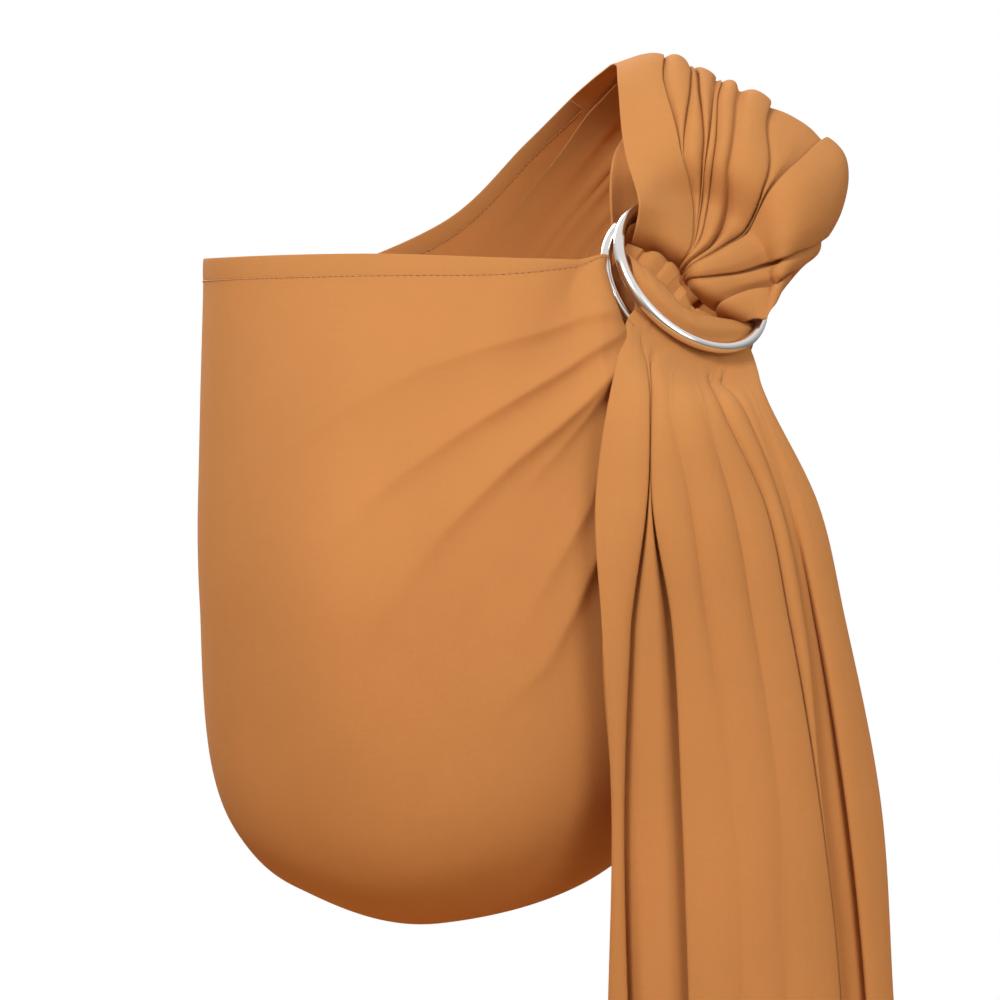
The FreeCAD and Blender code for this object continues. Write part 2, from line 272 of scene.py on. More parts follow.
def label_material():
    material, shader, tree = new_material("woven_label", 0.55)
    place = node(tree, "ShaderNodeTexCoord").outputs["Object"]
    ribs = node(tree, "ShaderNodeTexWave", Scale=700.0, Distortion=0.2)
    ribs.bands_direction = "Z"
    tree.links.new(place, ribs.inputs["Vector"])
    # Painted shade: the label is lighter on its ribs and darker in the grooves between them.
    stops = [(0.1, (0.74, 0.71, 0.64, 1)), (0.9, (0.86, 0.83, 0.76, 1))]
    tree.links.new(ramp(tree, ribs.outputs["Fac"], stops), shader.inputs["Base Color"])
    bump = node(tree, "ShaderNodeBump", Strength=0.2, Distance=0.00008)
    tree.links.new(ribs.outputs["Fac"], bump.inputs["Height"])
    tree.links.new(bump.outputs[0], shader.inputs["Normal"])
    return material


# --------------------------------------------------------------------------- the cloth's guide points
# Millimetres. Each row crosses the cloth from the neck-side rail to the arm-side rail.
RING_CENTRE = np.array([-26.0, -80.0, -93.0])
TILT, LEAN = math.radians(47), math.radians(45)
ALONG = np.array([math.sin(LEAN), 0, -math.cos(LEAN)])
UP = np.array([math.cos(TILT) * math.cos(LEAN), math.sin(TILT), math.cos(TILT) * math.sin(LEAN)])
OUT = np.cross(ALONG, UP)


def at_ring(*places):
    """Points given along, up and out from the middle of the rings."""
    return [tuple(RING_CENTRE + e * ALONG + r * UP + n * OUT) for e, r, n in places]


SEWN_END = [
    [(-51, -36, -14), (-39, -38, -12), (-24, -38, -14), (-4, -34, -22), (12, -26, -36),
     (22, -34, -62), (18, -42, -86)],
    [(-61, -61, -34), (-38, -60, -32), (-21, -60, -37), (-5, -56, -46), (11, -53, -58),
     (4, -44, -89), (2, -51, -105)],
    at_ring((-50, 5, -5), (-38, 30, -6), (-20, 43, -11), (0, 48, -13), (18, 45, -13),
            (32, 33, -13), (40, 18, -12)),
    at_ring((-38, -2, -11), (-28, 14, -13), (-15, 22, -13), (0, 26, -13), (14, 24, -13),
            (26, 19, -13), (34, 14, -12)),
]
RING_DIVE = [
    at_ring((-31, -7, -4), (-23, 1, -4), (-12, 6, -4), (-4, 6, -4), (6, 1, -4), (19, 5, -4), (32, 9, -4)),
    at_ring((-33, -11, 4), (-24, -2, 5), (-12, 3, 6), (-5, 3, 6), (5, -3, 5), (18, 1, 4), (33, 7, 3)),
    at_ring((-38.5, -9, 12.5), (-29, 5, 11), (-15, 14, 10.5), (-4, 18, 10.5), (8, 17, 10.5),
            (22, 16, 9), (36.5, 8, 6)),
    at_ring((-44, -3, 14.5), (-38, 16, 12.5), (-27, 31, 11.5), (-10, 39, 11.5), (8, 40, 11.5),
            (27, 31, 11.5), (40, 10, 8)),
]
SHOULDER = [
    [(-55, -68, -34), (-36, -66, -30), (-19, -66, -34), (-2, -62, -41), (17, -60, -54),
     (20, -66, -78), (16, -72, -101)],
    [(-57, -32, 4), (-34, -36, 5), (-12, -38, -3), (13, -36, -16), (42, -36, -38), (35, -50, -72),
     (20, -54, -93)],
    [(-57, 2, 19), (-33, 2, 24), (-8, 2, 13), (22, -2, -2), (52, -10, -28), (43, -26, -69), (20, -30, -86)],
    [(-64, 28, 19), (-42, 34, 12), (-18, 34, 2), (12, 32, -14), (40, 20, -44), (37, 6, -76), (16, -4, -90)],
]
ROUND_THE_BODY = [
    [(-74, 54, 14), (-48, 62, 0), (-20, 64, -20), (8, 56, -52), (20, 34, -92), (14, 22, -112)],
    [(-100, 92, -7), (-76, 104, -42), (-50, 108, -84), (-26, 104, -126), (-6, 88, -165)],
    [(-147, 112, -49), (-138, 120, -112), (-126, 123, -172), (-113, 120, -232), (-100, 112, -290)],
    [(-236, 72, -84), (-240, 76, -150), (-240, 78, -225), (-232, 76, -300), (-210, 60, -355)],
    [(-259, 5, -79), (-258.5, 5, -160), (-257.5, 3, -240), (-250, 0, -325), (-219, -12, -378)],
    [(-241, -85, -83), (-246.5, -102, -165), (-246.5, -114, -250), (-234, -108, -345), (-184, -52, -392)],
    [(-175, -128, -85), (-188, -156, -165), (-188, -174, -260), (-170, -150, -366), (-120, -58, -395)],
    [(-115, -130, -87), (-126, -152, -150), (-120, -168, -240), (-96, -152, -342), (-46, -60, -366)],
    [(-80, -118, -87), (-86, -128, -115), (-74, -138, -172), (-34, -122, -255), (2, -72, -268)],
    [(-67, -100, -86), (-66, -108, -98), (-56, -114, -122), (-29, -106, -148), (1, -84, -150)],
]
RING_ENTRY = [
    at_ring((-34, -29, -13), (-20, -41, -15), (0, -49, -15), (22, -46, -15), (42, -30, -14)),
    at_ring((-31, -24, -16), (-18, -34, -18), (0, -39, -18), (20, -36, -18), (38, -22, -17)),
    at_ring((-29, -18, -17), (-16, -18, -18), (0, -20, -18), (17, -20, -18), (34, -6, -16)),
    at_ring((-31, -13, -9), (-17, -6, -9), (-3, -6, -9), (11, -12, -9), (29, 0, -10)),
]
ROLL = [
    at_ring((-32, -12, -1), (-18, -3, 2), (-4, -1, 1), (10, -8, -2), (30, 6, -7)),
    at_ring((-30, -18, -1.5), (-16, -14, -1), (-3, -14, -1.5), (11, -14, -3), (33, 11, -5)),
    at_ring((-27, -20.5, 1), (-14, -20, 2.5), (0, -20, 2.5), (14, -16, 1), (36, 14, -2.5)),
    at_ring((-21, -27, 1.5), (-7, -29, 4), (9, -28, 3.5), (23, -18, 2.5), (38, 10, -0.5)),
    at_ring((-15, -33, -0.8), (2, -34.3, -0.8), (18, -29.5, -0.8), (30, -17, -0.8), (39.5, 6, -1.5)),
    at_ring((-8, -40.5, -2.4), (10, -39.2, -2.4), (25, -32.2, -2.4), (36, -19, -2.4), (42, 1, -2.6)),
]
TAIL = [
    at_ring((-7, -47.5, -3), (11, -46.7, -3), (28, -39, -3), (41.5, -24, -3), (48.5, -4, -3)),
    [(-65, -141, -150), (-48, -143, -152), (-27, -139, -155), (-8, -126, -155), (8, -108, -152)],
    [(-72, -155, -198), (-49, -157, -198), (-22, -151, -198), (6, -136, -198), (30, -115, -198)],
    [(-70, -162, -252), (-44, -159, -252), (-13, -154, -252), (18, -141, -252), (42, -119, -252)],
    [(-65, -159, -334), (-37, -159, -334), (-3, -156, -334), (31, -143, -334), (58, -121, -334)],
    [(-66, -152, -425), (-36, -157, -425), (0, -156, -425), (36, -142, -425), (64, -122, -425)],
    [(-72, -141, -640), (-36, -150, -640), (3, -150, -640), (42, -140, -640), (76, -124, -640)],
    [(-80, -132, -860), (-38, -142, -860), (5, -143, -860), (48, -136, -860), (86, -122, -860)],
]
STRETCHES = [SEWN_END, RING_DIVE, SHOULDER, ROUND_THE_BODY, RING_ENTRY, ROLL, TAIL]
ROWS = [row for stretch in STRETCHES for row in stretch]
FIRST = dict(zip(
    ("sewn_end", "dive", "shoulder", "body", "entry", "roll", "tail"),
    np.cumsum([0] + [len(s) for s in STRETCHES[:-1]]),
))

# --------------------------------------------------------------------------- the cloth's guide surface
GUIDES = 49          # threads of the guide surface
THREADS = 420        # lengthwise lines of the finished cloth
STEP = 2.0           # distance between two cross rows of the finished cloth
# The seat sags and its rail tucks up behind: the drop at places across, and its share at rows of the body.
SEAT_DROP_AT = (0, 0.70, 0.80, 0.89, 0.95, 1.0)
SEAT_DROP = (0, 0, -5, -8, -3, 9)
SEAT_STATIONS = ((4, 0.5), (5, 1.0), (6, 1.0), (7, 1.0), (8, 0.6))
TUCK_SHARE = 0.4     # how far the rail moves back for each millimetre that it tucks up


def smooth_through(values, knots, at):
    """The smooth curve through values at their knots, read at new places, along the first axis."""
    values = np.asarray(values, float)
    knots = np.asarray(knots, float)
    gap = np.diff(knots)
    rise = np.diff(values, axis=0) / gap.reshape((-1,) + (1,) * (values.ndim - 1))
    slope = np.empty_like(values)
    shape = (-1,) + (1,) * (values.ndim - 1)
    before, after = gap[:-1].reshape(shape), gap[1:].reshape(shape)
    slope[1:-1] = (rise[:-1] * after + rise[1:] * before) / (before + after)
    slope[0], slope[-1] = rise[0], rise[-1]
    at = np.clip(at, knots[0], knots[-1])
    i = np.clip(np.searchsorted(knots, at, side="right") - 1, 0, len(gap) - 1)
    width = gap[i].reshape(shape)
    u = ((at - knots[i]) / gap[i]).reshape(shape)
    start, end = values[i], values[i + 1]
    lean_in, lean_out = slope[i] * width, slope[i + 1] * width
    return (
        start * (2 * u**3 - 3 * u**2 + 1) + end * (3 * u**2 - 2 * u**3)
        + lean_in * (u**3 - 2 * u**2 + u) + lean_out * (u**3 - u**2)
    )


def soften(values, width, axis=0):
    """A running Gaussian average of the given width in samples, which keeps the ends where they are."""
    reach = int(3 * width) + 1
    weights = np.exp(-0.5 * (np.arange(-reach, reach + 1) / width) ** 2)
    weights /= weights.sum()
    moved = np.moveaxis(np.asarray(values, float), axis, 0)
    low = 2 * moved[:1] - moved[reach:0:-1]
    high = 2 * moved[-1:] - moved[-2:-reach - 2:-1]
    padded = np.concatenate([low, moved, high])
    out = sum(w * padded[k:k + len(moved)] for k, w in enumerate(weights))
    return np.moveaxis(out, 0, axis)


def guide_surface():
    """Evenly spaced cross rows of the guide surface, and the station of each."""
    across = np.linspace(0, 1, GUIDES)
    rows = np.array([smooth_through(row, np.linspace(0, 1, len(row)), across) for row in ROWS])
    drop = smooth_through(SEAT_DROP, SEAT_DROP_AT, across)
    for station, share in SEAT_STATIONS:
        rows[FIRST["body"] + station, :, 2] += share * drop
        rows[FIRST["body"] + station, :, 1] += share * TUCK_SHARE * np.maximum(drop, 0)
    apart = np.linalg.norm(np.diff(rows, axis=0), axis=2).mean(axis=1)
    knots = np.concatenate([[0], np.cumsum(np.maximum(apart, 1.0))])
    fine = np.linspace(0, knots[-1], int(knots[-1] * 4))
    dense = smooth_through(rows, knots, fine)
    length = np.concatenate([[0], np.cumsum(np.linalg.norm(np.diff(dense, axis=0), axis=2).mean(axis=1))])
    even = np.linspace(0, length[-1], int(length[-1] / STEP))
    where = np.interp(even, length, fine)
    surface = smooth_through(rows, knots, where)
    station = np.interp(where, knots, np.arange(len(ROWS)))
    return surface, station


SURFACE, STATION = guide_surface()
TANGENT = np.gradient(SURFACE, axis=0)
CROSSWAY = np.gradient(SURFACE, axis=1)
NORMAL = np.cross(CROSSWAY, TANGENT)
NORMAL /= np.linalg.norm(NORMAL, axis=2, keepdims=True) + 1e-9
NORMAL = soften(soften(NORMAL, 1.5), 1.0, axis=1)
NORMAL /= np.linalg.norm(NORMAL, axis=2, keepdims=True) + 1e-9
ROW_WIDTH = np.linalg.norm(np.diff(SURFACE, axis=1), axis=2).sum(axis=1)


def read_across(table, across):
    """Values of a table with one column per guide, at places 0 to 1 across, row by row."""
    place = np.clip(across, 0, 1) * (GUIDES - 1)
    i = np.clip(place.astype(int), 0, GUIDES - 2)
    u = (place - i)[..., None]
    row = np.arange(len(table))[:, None]
    p0, p1 = table[row, np.maximum(i - 1, 0)], table[row, i]
    p2, p3 = table[row, i + 1], table[row, np.minimum(i + 2, GUIDES - 1)]
    return p1 + 0.5 * (
        (p2 - p0) * u + (2 * p0 - 5 * p1 + 4 * p2 - p3) * u**2 + (3 * p1 - p0 - 3 * p2 + p3) * u**3
    )


def along_stations(pairs):
    """A value for every row, from (station, value) pairs, eased between them."""
    stations, values = zip(*pairs)
    i = np.clip(np.searchsorted(stations, STATION, side="right") - 1, 0, len(stations) - 2)
    stations, values = np.array(stations, float), np.array(values, float)
    u = np.clip((STATION - stations[i]) / (stations[i + 1] - stations[i]), 0, 1)
    return values[i] + (values[i + 1] - values[i]) * u * u * (3 - 2 * u)


# --------------------------------------------------------------------------- pleats
def crease(places, lap, depth):
    """A crease between two tubes: its share across at each station, how far the left tube lies over the
    right one (negative: the right one is on top) as a share of the width, and its depth in mm."""
    return places, lap, depth


def station_of(name, step=0.0):
    """A place along the cloth, counted in guide rows: so many rows after the first one of a stretch."""
    return FIRST[name] + step


def stations(*names):
    return [station_of(name, step) for name, step in names]


FAN_AT = stations(
    ("sewn_end", 1), ("dive", 1), ("dive", 2), ("dive", 3), ("shoulder", 0), ("shoulder", 1),
    ("shoulder", 2), ("body", 1), ("body", 3),
)
FAN_CREASES = [
    crease((0.34, 0.405, 0.345, 0.345, 0.24, 0.163, 0.168, 0.17, 0.17), 0.11, 2.6),
    crease(
        (0.36, 0.412, 0.352, 0.352, 0.247, 0.262, 0.250, 0.25, 0.25),
        (0.05, 0.04, 0.04, 0.04, 0.04, 0.04, 0, 0, 0),
        3.0,
    ),
    crease(
        (0.38, 0.418, 0.362, 0.385, 0.345, 0.288, 0.262, 0.28, 0.28),
        (0, 0.02, 0.02, 0.02, 0, -0.03, -0.04, 0, 0),
        2.8,
    ),
    crease(
        (0.40, 0.424, 0.370, 0.392, 0.352, 0.335, 0.345, 0.34, 0.34),
        (0, 0, 0, 0, -0.03, -0.03, 0.02, 0, 0),
        2.6,
    ),
    crease((0.42, 0.430, 0.405, 0.422, 0.390, 0.354, 0.354, 0.38, 0.38), 0.035, 2.6),
    crease(
        (0.50, 0.500, 0.505, 0.515, 0.465, 0.418, 0.405, 0.42, 0.42),
        (0, 0, 0, 0, 0, 0, 0, 0, 0),
        (1, 2.5, 3.5, 4, 1.2, 1.2, 2.2, 1, 1),
    ),
    crease((0.55, 0.530, 0.555, 0.620, 0.608, 0.512, 0.490, 0.50, 0.50), 0.035, 2.8),
    crease((0.60, 0.545, 0.572, 0.632, 0.622, 0.600, 0.612, 0.60, 0.60), -0.12, 2.4),
    crease(
        (0.76, 0.620, 0.745, 0.785, 0.872, 0.852, 0.832, 0.80, 0.80),
        (0.09, 0.09, 0.08, 0.07, 0.06, 0.07, 0.09, 0.09, 0.09),
        1.8,
    ),
    crease((0.88, 0.835, 0.850, 0.870, 0.948, 0.950, 0.950, 0.92, 0.92), -0.04, 2.0),
]
FAN_TOPS = [
    2.2, 2.6, 2.0, 2.4, 2.4, 3.0,
    (2, 2, 2.5, 3, 3, 3, 3, 2, 2), 0.6, (2, 2.5, 4, 6, 6, 5, 4, 2, 2), (2, 1, 2, 3, 3, 3, 3, 2, 2), 2.4,
]

TAIL_AT = stations(("roll", 3), *[("tail", step) for step in range(8)])
TAIL_CREASES = [
    crease(
        (0.15, 0.18, 0.262, 0.255, 0.135, 0.050, 0.075, 0.13, 0.17),
        (0, 0.01, 0.08, 0.13, 0.12, 0.045, 0.07, 0.12, 0.16),
        (0, -0.2, 2.5, 6, 9, 10, 10, 10, 10),
    ),
    crease(
        (0.20, 0.23, 0.272, 0.268, 0.295, 0.270, 0.285, 0.30, 0.32),
        (0, 0, -0.03, -0.06, -0.08, -0.10, -0.12, -0.14, -0.15),
        (0, -0.2, 2.5, 7, 12, 12, 10, 10, 10),
    ),
    crease(
        (0.40, 0.40, 0.370, 0.425, 0.425, 0.440, 0.450, 0.46, 0.46),
        (0, 0, 0, 0, 0, 0, 0, 0.08, 0.12),
        (-0.3, -0.9, -2.6, -1.1, -0.8, -1.2, -1.0, 5, 8),
    ),
    crease(
        (0.52, 0.52, 0.540, 0.595, 0.590, 0.590, 0.590, 0.60, 0.60),
        (0, 0, 0, 0, 0, 0, 0, -0.06, -0.08),
        (-0.3, -0.9, -2.5, -0.8, -0.8, -1.8, -1.6, 4, 6),
    ),
    crease(
        (0.58, 0.59, 0.650, 0.730, 0.725, 0.735, 0.775, 0.76, 0.74),
        (0, 0.02, 0.05, 0.06, 0.09, 0.16, 0.17, 0.16, 0.15),
        (-0.3, -0.3, 4, 5, 7, 9, 10, 10, 10),
    ),
    crease(
        (0.61, 0.62, 0.800, 0.812, 0.795, 0.748, 0.790, 0.80, 0.80),
        (0, 0.02, 0.10, 0.10, 0.07, 0.03, 0.03, 0.08, 0.08),
        (-0.3, -0.3, 5, 6, 7, 8, 8, 8, 8),
    ),
    crease(
        (0.80, 0.82, 0.900, 0.870, 0.860, 0.840, 0.880, 0.88, 0.88),
        (0, 0, 0, 0, -0.03, -0.06, -0.06, -0.06, -0.06),
        (-0.3, -0.8, -1.5, 1, 4, 6, 6, 6, 6),
    ),
]
TAIL_TOPS = [
    (0.3, 1, 3, 4, 4, 3, 3, 4, 4), (0.3, 0.6, 1, 1, 0, -2, 0, 3, 4), (0.3, 1, 3, 3, 3, 2, 3, 4, 4),
    (0.3, 1, 3, 3.5, 3.5, 3, 3, 4, 4), (0.3, 1, 2.5, 3, 3, 3, 4, 4, 4), (0.3, 1, 3, 3, 3, 1, 0, 2, 3),
    (0.3, 1, 1, -1, -2, -5, -5, -2, 0), (0.3, 1, 2, 2, 3, 3, 3, 3, 3),
]


FULL_TUBE = 7              # a tube narrower than this many mm is lower in proportion
FULL_LAP = 0.02            # a lap this wide, as a share of the cloth, lies fully over its neighbour
LOOSE_GAP = 0.014          # half the width of a crease that isn't lapped
SHOULDER_AT = 0.26         # where a tube's shoulder lies between its edge and the next one
SHOULDER_HIGH = 0.92       # the shoulder's height as a share of the top's
RAIL_HIGH = 0.6            # the height at the cloth's two rails as a share of the top's


def fold_table(creases, tops, at):
    """For every row and thread of the cloth, its share across and its height in mm over the guides."""
    def by_row(values):
        values = np.full(len(at), values, float) if np.isscalar(values) else np.array(values, float)
        return smooth_through(values, at, STATION)

    width = ROW_WIDTH
    places = [by_row(c[0]) for c in creases]
    laps = [by_row(c[1]) for c in creases]
    depths = [by_row(c[2]) for c in creases]
    edges = [np.zeros(len(width))] + places + [np.ones(len(width))]
    spans = [np.maximum(b - a, 0) for a, b in zip(edges, edges[1:])]
    highs = [by_row(top) * np.clip(span * width / FULL_TUBE, 0, 1) for top, span in zip(tops, spans)]
    x, h = [edges[0]], [RAIL_HIGH * highs[0]]
    for k, (span, high) in enumerate(zip(spans, highs)):
        x += [edges[k] + SHOULDER_AT * span, edges[k] + 0.5 * span, edges[k + 1] - SHOULDER_AT * span]
        h += [SHOULDER_HIGH * high, high, SHOULDER_HIGH * high]
        if k < len(creases):
            place, lap, depth = places[k], laps[k], depths[k]
            left_over = np.clip(lap / FULL_LAP, 0, 1)
            right_over = np.clip(-lap / FULL_LAP, 0, 1)
            loose = 1 - left_over - right_over
            slack = LOOSE_GAP * loose
            x += [place - slack, place - lap, place + slack]
            h += [
                0.45 * (left_over + loose) * high - (0.5 * right_over + 0.45 * loose) * depth,
                -depth,
                0.45 * (right_over + loose) * highs[k + 1] - (0.5 * left_over + 0.45 * loose) * depth,
            ]
    x += [edges[-1]]
    h += [RAIL_HIGH * highs[-1]]
    x, h = np.array(x), np.array(h)
    near = (STATION >= at[0]) & (STATION <= at[-1])
    run = np.hypot(np.diff(x, axis=0) * width, np.diff(h, axis=0))[:, near].mean(axis=1)
    thread = np.concatenate([[0], np.cumsum(run)]) / run.sum()
    even = np.linspace(0, 1, THREADS)
    place = np.array([np.interp(even, thread, row) for row in x.T])
    height = np.array([np.interp(even, thread, row) for row in h.T])
    return place, height


def wander(seed, rows, columns, stretch_rows, stretch_columns):
    """Smooth deterministic unevenness between about -1 and 1."""
    noise = np.random.default_rng(seed).standard_normal((rows, columns))
    noise = soften(soften(noise, stretch_rows), stretch_columns, axis=1)
    return noise / (np.abs(noise).max() + 1e-9)


def ripples(count, wobble, seed, rows, stretch_rows, stretch_columns):
    """Waves across the cloth, whose crests wander to and fro along it."""
    thread = np.linspace(0, 1, THREADS)
    drift = wobble * wander(seed, rows, THREADS, stretch_rows, stretch_columns)
    return np.sin(2 * np.pi * count * thread + drift)


CREST_ROUNDING = 1.2       # mm


def fold_profile(distance, broad, steep):
    """A fold's height beside its sharp crest: broad on one side, falling away fast on the other."""
    rounded = np.sqrt(distance ** 2 + CREST_ROUNDING ** 2) - CREST_ROUNDING
    return np.exp(-rounded / np.where(distance < 0, broad, steep))


# Folds that run out of the rings over the pouch: crest points (x, z) in mm from the ring outwards, the
# height at the ring and at the far end, and the widths of the broad and the steep side.
POUCH_FOLDS = [
    ([(-62, -112), (-80, -116), (-105, -124), (-149, -138), (-183, -156), (-214, -178)], 3.0, 1.6, 16, 4),
    ([(-61, -122), (-74, -131), (-105, -150), (-135, -169), (-156, -184), (-172, -197),
      (-189, -218)], 5.0, 2.2, 15, 3.2),
    ([(-60, -135), (-76, -151), (-92, -166), (-110, -181), (-128, -199), (-143, -214),
      (-160, -238)], 6.5, 2.2, 13, 3.2),
    ([(-64, -160), (-69, -172), (-77, -199), (-86, -217), (-102, -246)], 7.0, 2.0, 12, 3.6),
    ([(-68, -206), (-73, -222), (-83, -247), (-95, -271), (-110, -286)], 6.0, 1.6, 10, 3.2),
    ([(-66, -142), (-78, -160), (-92, -178), (-110, -198)], 3.5, 0.8, 6, 2.4),
]

POUCH_BEGINS = -54         # x in mm where the tail and the rings end and the open pouch begins
FOLD_OVERRUN = 40          # how far a fold runs on past the two ends of its crest


def pouch_relief(points):
    """Height added to the pouch's front wall by the folds that run out of the rings."""
    relief = np.zeros(points.shape[:2])
    x, z = points[..., 0], points[..., 2]
    for crest, near, far, broad, steep in POUCH_FOLDS:
        crest = np.array(crest, float)
        best = np.full(x.shape, 1e9)
        signed, share = np.zeros(x.shape), np.zeros(x.shape)
        run = np.linalg.norm(np.diff(crest, axis=0), axis=1)
        so_far = np.concatenate([[0], np.cumsum(run)])
        for k, (start, end) in enumerate(zip(crest[:-1], crest[1:])):
            way = (end - start) / run[k]
            dx, dz = x - start[0], z - start[1]
            along = dx * way[0] + dz * way[1]
            before = FOLD_OVERRUN if k == 0 else 0
            after = FOLD_OVERRUN if k == len(run) - 1 else 0
            reach = np.clip(along, -before, run[k] + after)
            off = np.hypot(dx - reach * way[0], dz - reach * way[1])
            side = np.sign(dx * way[1] - dz * way[0])
            nearer = off < best
            best = np.where(nearer, off, best)
            signed = np.where(nearer, -side * off, signed)
            share = np.where(nearer, (so_far[k] + reach) / so_far[-1], share)
        fade = np.clip(1.25 - share, 0, 1) ** 0.8 * np.clip((share + 0.25) / 0.25, 0, 1)
        spread = 1 + 0.5 * np.clip(share, 0, 1)
        height = far + (near - far) * np.clip(1 - share, 0, 1)
        relief += height * np.minimum(fade, 1) * fold_profile(signed / spread, broad, steep)
    return relief * np.clip((POUCH_BEGINS - x) / 16, 0, 1)


# Folds of the cloth that climbs through the rings: share across, height in mm, and the two sides' widths.
CLIMB_FOLDS = [(0.16, 2.4, 6, 1.6), (0.34, 1.6, 5, 1.6), (0.57, 2.6, 6, 1.6), (0.78, 1.6, 5, 2.0)]
CLIMB_WIDTH = 75           # mm across the cloth where it climbs


def cloth_grid():
    """Points of the whole cloth, rows along it and threads across it, in mm."""
    rows = len(SURFACE)
    thread = np.linspace(0, 1, THREADS)
    fan_place, fan_height = fold_table(FAN_CREASES, FAN_TOPS, FAN_AT)
    tail_place, tail_height = fold_table(TAIL_CREASES, TAIL_TOPS, TAIL_AT)
    at = station_of

    # How strongly each kind of fold shows along the cloth, in mm or as a share.
    gather = along_stations([
        (0, 1), (at("shoulder", 3), 1), (at("body", 0), 0.9), (at("body", 1), 0.5), (at("body", 2), 0.2),
        (at("body", 3), 0), (at("body", 7.5), 0), (at("entry"), 0.25), (at("roll", 2), 0.25),
        (at("roll", 3), 0),
    ])[:, None]
    lift = along_stations([
        (0, 0.5), (at("dive"), 0.8), (at("dive", 2), 1), (at("shoulder", 2), 1.05), (at("body", 0), 0.6),
        (at("body", 0.6), 0.2), (at("body", 1), 0.05), (at("body", 2), 0), (at("tail", 7), 0),
    ])[:, None]
    hang = along_stations([
        (0, 0), (at("roll", 3), 0), (at("tail"), 0.4), (at("tail", 0.5), 1), (at("tail", 7), 1),
    ])[:, None]
    noise = along_stations([
        (0, 0.5), (at("shoulder", 2), 1), (at("body", 1), 1.2), (at("body", 8), 1), (at("entry"), 0.4),
        (at("roll", 5), 0.15), (at("tail", 1), 0.8), (at("tail", 7), 1),
    ])[:, None]
    hidden = along_stations([
        (0, 2.0), (at("sewn_end", 2), 1.8), (at("dive"), 0.5), (at("dive", 1), 0), (at("tail", 7), 0),
    ])[:, None]
    gathered = along_stations([
        (0, 0), (at("body", 7.6), 0), (at("body", 8), 3), (at("body", 8.7), 7), (at("body", 9), 5.5),
        (at("entry"), 4.0), (at("entry", 1), 3.2), (at("entry", 2), 1.0), (at("entry", 3), 0),
        (at("tail", 7), 0),
    ])[:, None]
    sling_back = along_stations([
        (0, 0), (at("body", 0), 0), (at("body", 0.5), 4), (at("body", 1), 7), (at("body", 2), 10),
        (at("body", 3), 11), (at("body", 3.7), 6), (at("body", 4), 2), (at("body", 4.6), 0),
        (at("tail", 7), 0),
    ])[:, None]
    climb = along_stations([
        (0, 0), (at("entry", 1.5), 0), (at("entry", 3), 1), (at("roll", 1), 1), (at("roll", 2), 0.15),
        (at("roll", 3), 0.1), (at("roll", 5), 0.1), (at("tail", 0.5), 0),
    ])[:, None]

    shift = 0.010 * wander(3, rows, THREADS, 26, 30) * np.sin(np.pi * thread) ** 0.5
    place = thread + gather * (fan_place - thread) + hang * (tail_place - thread)
    place = place + shift * np.maximum(gather, hang)
    place = soften(place, 2.0, axis=1)
    height = soften(lift * fan_height - hang * tail_height, 2.0, axis=1)
    height = height * (1 + 0.18 * wander(5, rows, THREADS, 22, 24))
    fine = 0.45 * wander(7, rows, THREADS, 14, 9)
    height = height + noise * (fine + 1.2 * wander(8, rows, THREADS, 34, 28))
    height = height + hidden * ripples(19, 2.5, 11, rows, 40, 20)
    below_the_rail = np.clip((thread - 0.12) / 0.15, 0, 1)
    gathered = gathered * ripples(11, 2, 13, rows, 60, 30) * below_the_rail
    below_the_opening = np.clip((thread - 0.38) / 0.2, 0, 1) * np.clip((1 - thread) / 0.1, 0, 1)
    height = height + sling_back * ripples(9, 4, 12, rows, 60, 30) * below_the_opening
    for across, high, broad, steep in CLIMB_FOLDS:
        height = height + climb * high * fold_profile((thread - across) * CLIMB_WIDTH, broad, steep)

    base = read_across(SURFACE, place)
    height = height + gathered * np.clip((base[..., 0] - POUCH_BEGINS) / 14, 0, 1)
    normal = read_across(NORMAL, place)
    normal /= np.linalg.norm(normal, axis=2, keepdims=True)
    front = along_stations([
        (0, 0), (at("body", 4), 0), (at("body", 5.5), 1), (at("body", 8.6), 1), (at("body", 9), 0.5),
        (at("entry"), 0),
    ])[:, None]
    height = height + front * pouch_relief(base)
    return base + normal * height[..., None]


# --------------------------------------------------------------------------- meshes
CLOTH_THICK = 0.9
HEM_THICK = 1.4
TAIL_HEM_THICK = 1.15
HEM_SHARE = 0.036          # a hem's width as a share of the cloth's


def grid_faces(rows, columns):
    index = np.arange(rows * columns).reshape(rows, columns)
    return np.stack([index[:-1, :-1], index[:-1, 1:], index[1:, 1:], index[1:, :-1]], axis=-1).reshape(-1, 4)


def new_object(name, points, faces, material):
    mesh = bpy.data.meshes.new(name)
    corners = [tuple(point) for point in np.asarray(points).reshape(-1, 3) * MM]
    mesh.from_pydata(corners, [], [tuple(map(int, face)) for face in faces])
    mesh.materials.append(material)
    mesh.polygons.foreach_set("use_smooth", [True] * len(mesh.polygons))
    made = bpy.data.objects.new(name, mesh)
    bpy.context.collection.objects.link(made)
    return made


def lay_uv(made, length, width):
    """UV in metres of flat cloth, from each vertex's own place along and across."""
    layer = made.data.uv_layers.new(name="cloth")
    corner = np.empty(len(made.data.loops), int)
    made.data.loops.foreach_get("vertex_index", corner)
    uv = np.stack([np.ravel(width)[corner], np.ravel(length)[corner]], axis=1)
    layer.data.foreach_set("uv", uv.astype(np.float32).ravel())


def thicken(made, thickness):
    solid = made.modifiers.new("thickness", "SOLIDIFY")
    solid.thickness = thickness * MM
    solid.offset = 0
    solid.use_even_offset = False
    bpy.context.view_layer.objects.active = made
    made.select_set(True)
    bpy.ops.object.modifier_apply(modifier=solid.name)
    made.select_set(False)


